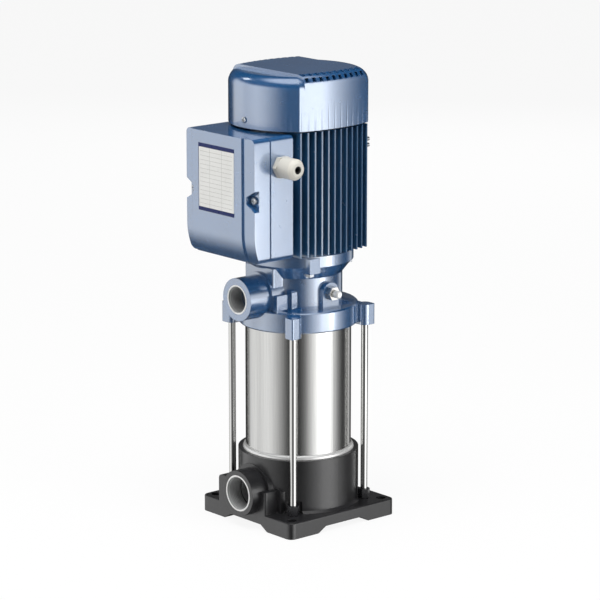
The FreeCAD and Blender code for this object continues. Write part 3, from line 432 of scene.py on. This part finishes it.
def port_lining(name, port, material):
    """Machined lead-in cone, thread and passage of a port, whose grey on the passage is painted light
    that lifts the dark bore: the thread's depth follows a triangle wave of distance over pitch minus the
    turn, and fades out at both ends."""
    core = port["dims"]["r_mm"] * MM - lining_gap
    centre = (0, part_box("suction_body")[0].y, port["pos_m"][2])
    depth = np.linspace(port_lip, thread_depth, thread_rows)
    lead_in = [(core + port_lip, mouth_gap), (core, port_lip - lining_gap)]
    passage = [(core - port_step, thread_depth + lining_gap), (core - port_step, passage_depth)]
    profile = np.vstack([lead_in, np.column_stack([np.full_like(depth, core), depth]), passage])

    def ridge(distance, angle):
        wave = 2 * np.abs((distance / thread_pitch - angle / TURN) % 1 - 0.5)
        fade_in = np.clip((distance - port_lip) / thread_pitch, 0, 1)
        fade_out = np.clip((thread_depth - distance) / thread_pitch, 0, 1)
        return -thread_ridge * wave * (fade_in * fade_out)
    surface(name, turned_points(profile, centre, (0, 1, 0), port_sides, ridge), material)


def port_rim(name, port, material):
    """Bright faced rim around a port's mouth: flat, and falling off near both edges as a clipped line."""
    inner = port["dims"]["r_mm"] * MM + port_lip - port_rim_width
    centre = (0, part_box("suction_body")[0].y, port["pos_m"][2])
    across = np.linspace(0, 1, rim_rows)
    height = port_rim_height * np.clip(port_rim_slope * np.minimum(across, 1 - across), 0, 1)
    profile = np.column_stack([inner + across * port_rim_width, lining_gap - height])
    surface(name, turned_points(profile, centre, (0, 1, 0), port_sides), material)


def cross_head(name, centre, outward, radius, height, material, replaces):
    """Pan head with a cross recess: a dome that falls with the fourth power of the radius, deeper by the
    recess where a point is within an arm's half width of the cross and short of its reach, and a straight
    wall down to the seat."""
    outward = Vector(outward)
    upright = Vector((0, 0, 1))
    side = upright.cross(outward)
    angle = np.linspace(0, TURN, head_sides + 1)[None, :]
    share = np.append(np.linspace(0, 1, head_rows), 1.0)[:, None]
    along = radius * share * np.cos(angle)
    above = radius * share * np.sin(angle)
    near, far = np.minimum(abs(along), abs(above)), np.maximum(abs(along), abs(above))
    in_arm = np.clip((recess_arm - near) / (recess_wall * recess_arm) + 1, 0, 1)
    in_reach = np.clip((recess_reach * radius - far) / (recess_end * radius) + 1, 0, 1)
    level = height * (1 - dome_fall * share ** 4) - recess_depth * (in_arm * in_reach)
    level[-1] = 0
    points = (np.array(centre) + along[..., None] * np.array(side) + above[..., None] * np.array(upright)
              + level[..., None] * np.array(outward))
    surface(name, points, material, replaces=replaces)


def screw_heads(material):
    """The cross-head screws of the terminal cover, and of the fan cover's round faces."""
    low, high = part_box("terminal_cover_screws")
    radius = (high.z - low.z) / 2
    for hand, x in (("left", low.x + radius), ("right", high.x - radius)):
        seat = (x, low.y + cover_head_height, low.z + radius)
        cross_head(f"terminal_cover_screw_{hand}", seat, (0, -1, 0), radius, cover_head_height, material,
                   ("terminal_cover_screws",))
    low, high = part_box("fan_cover_screws")
    radius = (high.x - low.x) / 2
    for hand, y, way in (("front", low.y, -1), ("rear", high.y, 1)):
        seat = (0, y - way * fan_head_height, low.z + radius)
        cross_head(f"fan_cover_screw_{hand}", seat, (0, way, 0), radius, fan_head_height, material,
                   ("fan_cover_screws",))


def rod_nuts(material):
    """Four black nuts, bored for the rod: the radius is the smaller of the hexagon's at that angle and the
    radius of a cone that widens from each end."""
    low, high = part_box("tie_rod_nuts")
    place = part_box("tie_rods")[1].x - rod_radius
    tall = high.z - low.z
    angle = np.linspace(0, TURN, nut_sides + 1)[None, :]
    apothem = rod_nut_flats / 2
    hexagon = apothem / np.cos((angle % (TURN / 6)) - TURN / 12)
    foot = np.array([0, 0, nut_chamfer / 2, nut_chamfer])
    level = np.append(foot, tall - foot[::-1])[:, None]
    radius = np.minimum(hexagon, apothem + nut_slope * np.minimum(level, tall - level))
    radius[[0, -1]] = rod_radius
    corners = [(-place, -place), (place, -place), (place, place), (-place, place)]
    for number, (x, y) in enumerate(corners, 1):
        height = np.broadcast_to(low.z + level, radius.shape)
        points = np.stack([x + radius * np.cos(angle), y + radius * np.sin(angle), height], axis=-1)
        surface(f"tie_rod_nut_{number}", points, material, replaces=("tie_rod_nuts",))


def gland_seal(material):
    """Rubber ring in the gland's mouth: a flat face that rounds into the bore by a quarter circle, turned
    about the gland's axis."""
    low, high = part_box("gland_nut")
    around = np.linspace(0, TURN / 4, seal_rows)
    bore = gland_bore - seal_lip
    rounding = np.column_stack([bore + seal_lip / 2 * (1 - np.sin(around)),
                                -seal_set - seal_lip / 2 * (1 - np.cos(around))])
    face = [(gland_bore - lining_gap, -seal_set)]
    closed_bore = [(bore, -seal_depth), (0, -seal_depth)]
    profile = np.vstack([face, rounding, closed_bore])
    centre = (high.x, (low.y + high.y) / 2, (low.z + high.z) / 2)
    surface("gland_seal", turned_points(profile, centre, (1, 0, 0), seal_sides), material)


def jacket_foot(material):
    """Rolled lip at the jacket's foot, painted near white as a painted highlight: a quarter of an ellipse
    turned about the pump's axis.
    """
    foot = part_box("suction_body")[1].z
    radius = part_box("jacket")[1].x - lip_out
    around = np.linspace(0, TURN / 4, foot_rows)
    profile = np.column_stack([radius + (lip_out + lining_gap) * np.cos(around),
                               foot + (lip_up + lining_gap) * np.sin(around)])
    surface("jacket_rolled_foot", turned_points(profile, (0, 0, 0), (0, 0, 1), foot_sides), material)


def make_camera():
    """The camera at its fitted place, looking along its fitted direction."""
    data = bpy.data.cameras.new("camera")
    data.sensor_width = sensor_width
    data.lens = focal_length
    camera = bpy.data.objects.new("camera", data)
    scene.collection.objects.link(camera)
    camera.location = camera_place
    camera.rotation_mode = "QUATERNION"
    camera.rotation_quaternion = Vector(camera_aim).to_track_quat("-Z", "Y")
    scene.camera = camera


def make_floor():
    """A wide pale floor: what the camera sees of it is mostly its own glow, so the shadow on it is faint."""
    ends = (-floor_reach, floor_reach)
    mesh = bpy.data.meshes.new("floor")
    mesh.from_pydata([(x, y, 0.0) for y in ends for x in ends], [], [(0, 1, 3, 2)])
    # Matt white paint: a soft bounce on the object, and a near-white ground in the picture
    material = bpy.data.materials.new("pale_floor")
    material.use_nodes = True
    tree = material.node_tree
    tree.nodes.clear()
    paint = add(tree, "ShaderNodeBsdfDiffuse", {"Color": (floor_paint, floor_paint, floor_paint, 1)})
    glow = add(tree, "ShaderNodeEmission", {"Color": WHITE, "Strength": floor_glow})
    faint = add(tree, "ShaderNodeBsdfDiffuse", {"Color": (floor_shade, floor_shade, floor_shade, 1)})
    both = add(tree, "ShaderNodeAddShader", {0: faint, 1: glow})
    seen = add(tree, "ShaderNodeLightPath").outputs["Is Camera Ray"]
    mix = add(tree, "ShaderNodeMixShader", {0: seen, 1: paint, 2: both})
    add(tree, "ShaderNodeOutputMaterial", {"Surface": mix})
    mesh.materials.append(material)
    floor = bpy.data.objects.new("floor", mesh)
    scene.collection.objects.link(floor)
    floor.visible_glossy = False


def make_studio():
    """White walls left and right of the object with dark gaps between them, and a white view behind.

    The light of a direction is the walls' level at its compass heading times their share at its tilt, plus
    the ceiling's level. A ramp is read at the heading over a full turn, or at half of the sum of one and
    the sine of the tilt."""
    world = bpy.data.worlds.new("studio")
    world.use_nodes = True
    scene.world = world
    tree = world.node_tree
    tree.nodes.clear()
    direction = add(tree, "ShaderNodeTexCoord").outputs["Generated"]
    split = add(tree, "ShaderNodeSeparateXYZ", {0: direction})
    heading = add(tree, "ShaderNodeMath", {0: split.outputs[1], 1: split.outputs[0]}, operation="ARCTAN2")
    turns = add(tree, "ShaderNodeMath", {0: heading, 1: TURN}, operation="DIVIDE")
    turn = add(tree, "ShaderNodeMath", {0: turns}, operation="FRACT")
    height = add(tree, "ShaderNodeMapRange", {"Value": split.outputs[2], "From Min": -1.0, "From Max": 1.0})
    headings = [(angle / 360, level) for angle, level in right_wall + rear_gap + left_wall + front_gap]
    fades, roofs = [[((math.sin(math.radians(tilt)) + 1) / 2, level) for tilt, level in levels]
                    for levels in (wall_fade, ceiling)]
    walls = add(tree, "ShaderNodeValToRGB", {0: turn}, headings)
    fade = add(tree, "ShaderNodeValToRGB", {0: height}, fades)
    roof = add(tree, "ShaderNodeValToRGB", {0: height}, roofs)
    level = add(tree, "ShaderNodeMath", {0: walls, 1: fade, 2: roof}, operation="MULTIPLY_ADD")
    lit = add(tree, "ShaderNodeMath", {0: level, 1: wall_light}, operation="MULTIPLY")
    seen = add(tree, "ShaderNodeLightPath").outputs["Is Camera Ray"]
    strength = add(tree, "ShaderNodeMix", {0: seen, 2: lit, 3: backdrop_light}, data_type="FLOAT")
    sky = add(tree, "ShaderNodeBackground", {"Color": WHITE, "Strength": strength})
    add(tree, "ShaderNodeOutputWorld", {"Surface": sky})


def make_lamps():
    """Soft lamps that face their target: fills and a top light that surfaces don't mirror, and a low card
    beside the terminal box and a small strip behind, which they do."""
    for name, place, target, size, power, mirrored in lamps:
        data = bpy.data.lights.new(name, "AREA")
        data.shape = "RECTANGLE"
        data.size, data.size_y = size
        data.energy = power
        lamp = bpy.data.objects.new(name, data)
        scene.collection.objects.link(lamp)
        lamp.location = place
        lamp.rotation_mode = "QUATERNION"
        lamp.rotation_quaternion = (Vector(target) - Vector(place)).to_track_quat("-Z", "Y")
        lamp.visible_glossy = mirrored


materials = make_materials()
dress_cad_nodes(materials)
# Each lining's passage is light grey where the bore would be dark: painted light
port_lining("suction_port_thread", mounts["suction_port"], materials["machined_iron"])
port_lining("discharge_port_thread", mounts["discharge_port"], materials["machined_iron"])
port_rim("suction_port_rim", mounts["suction_port"], materials["port_rim"])
port_rim("discharge_port_rim", mounts["discharge_port"], materials["port_rim"])
screw_heads(materials["zinc_screws"])
rod_nuts(materials["black_nuts"])
jacket_foot(materials["plating_painted_near_white"])
gland_seal(materials["seal_body"])
make_camera()
make_floor()
make_studio()
make_lamps()
scene.view_settings.view_transform = "Standard"
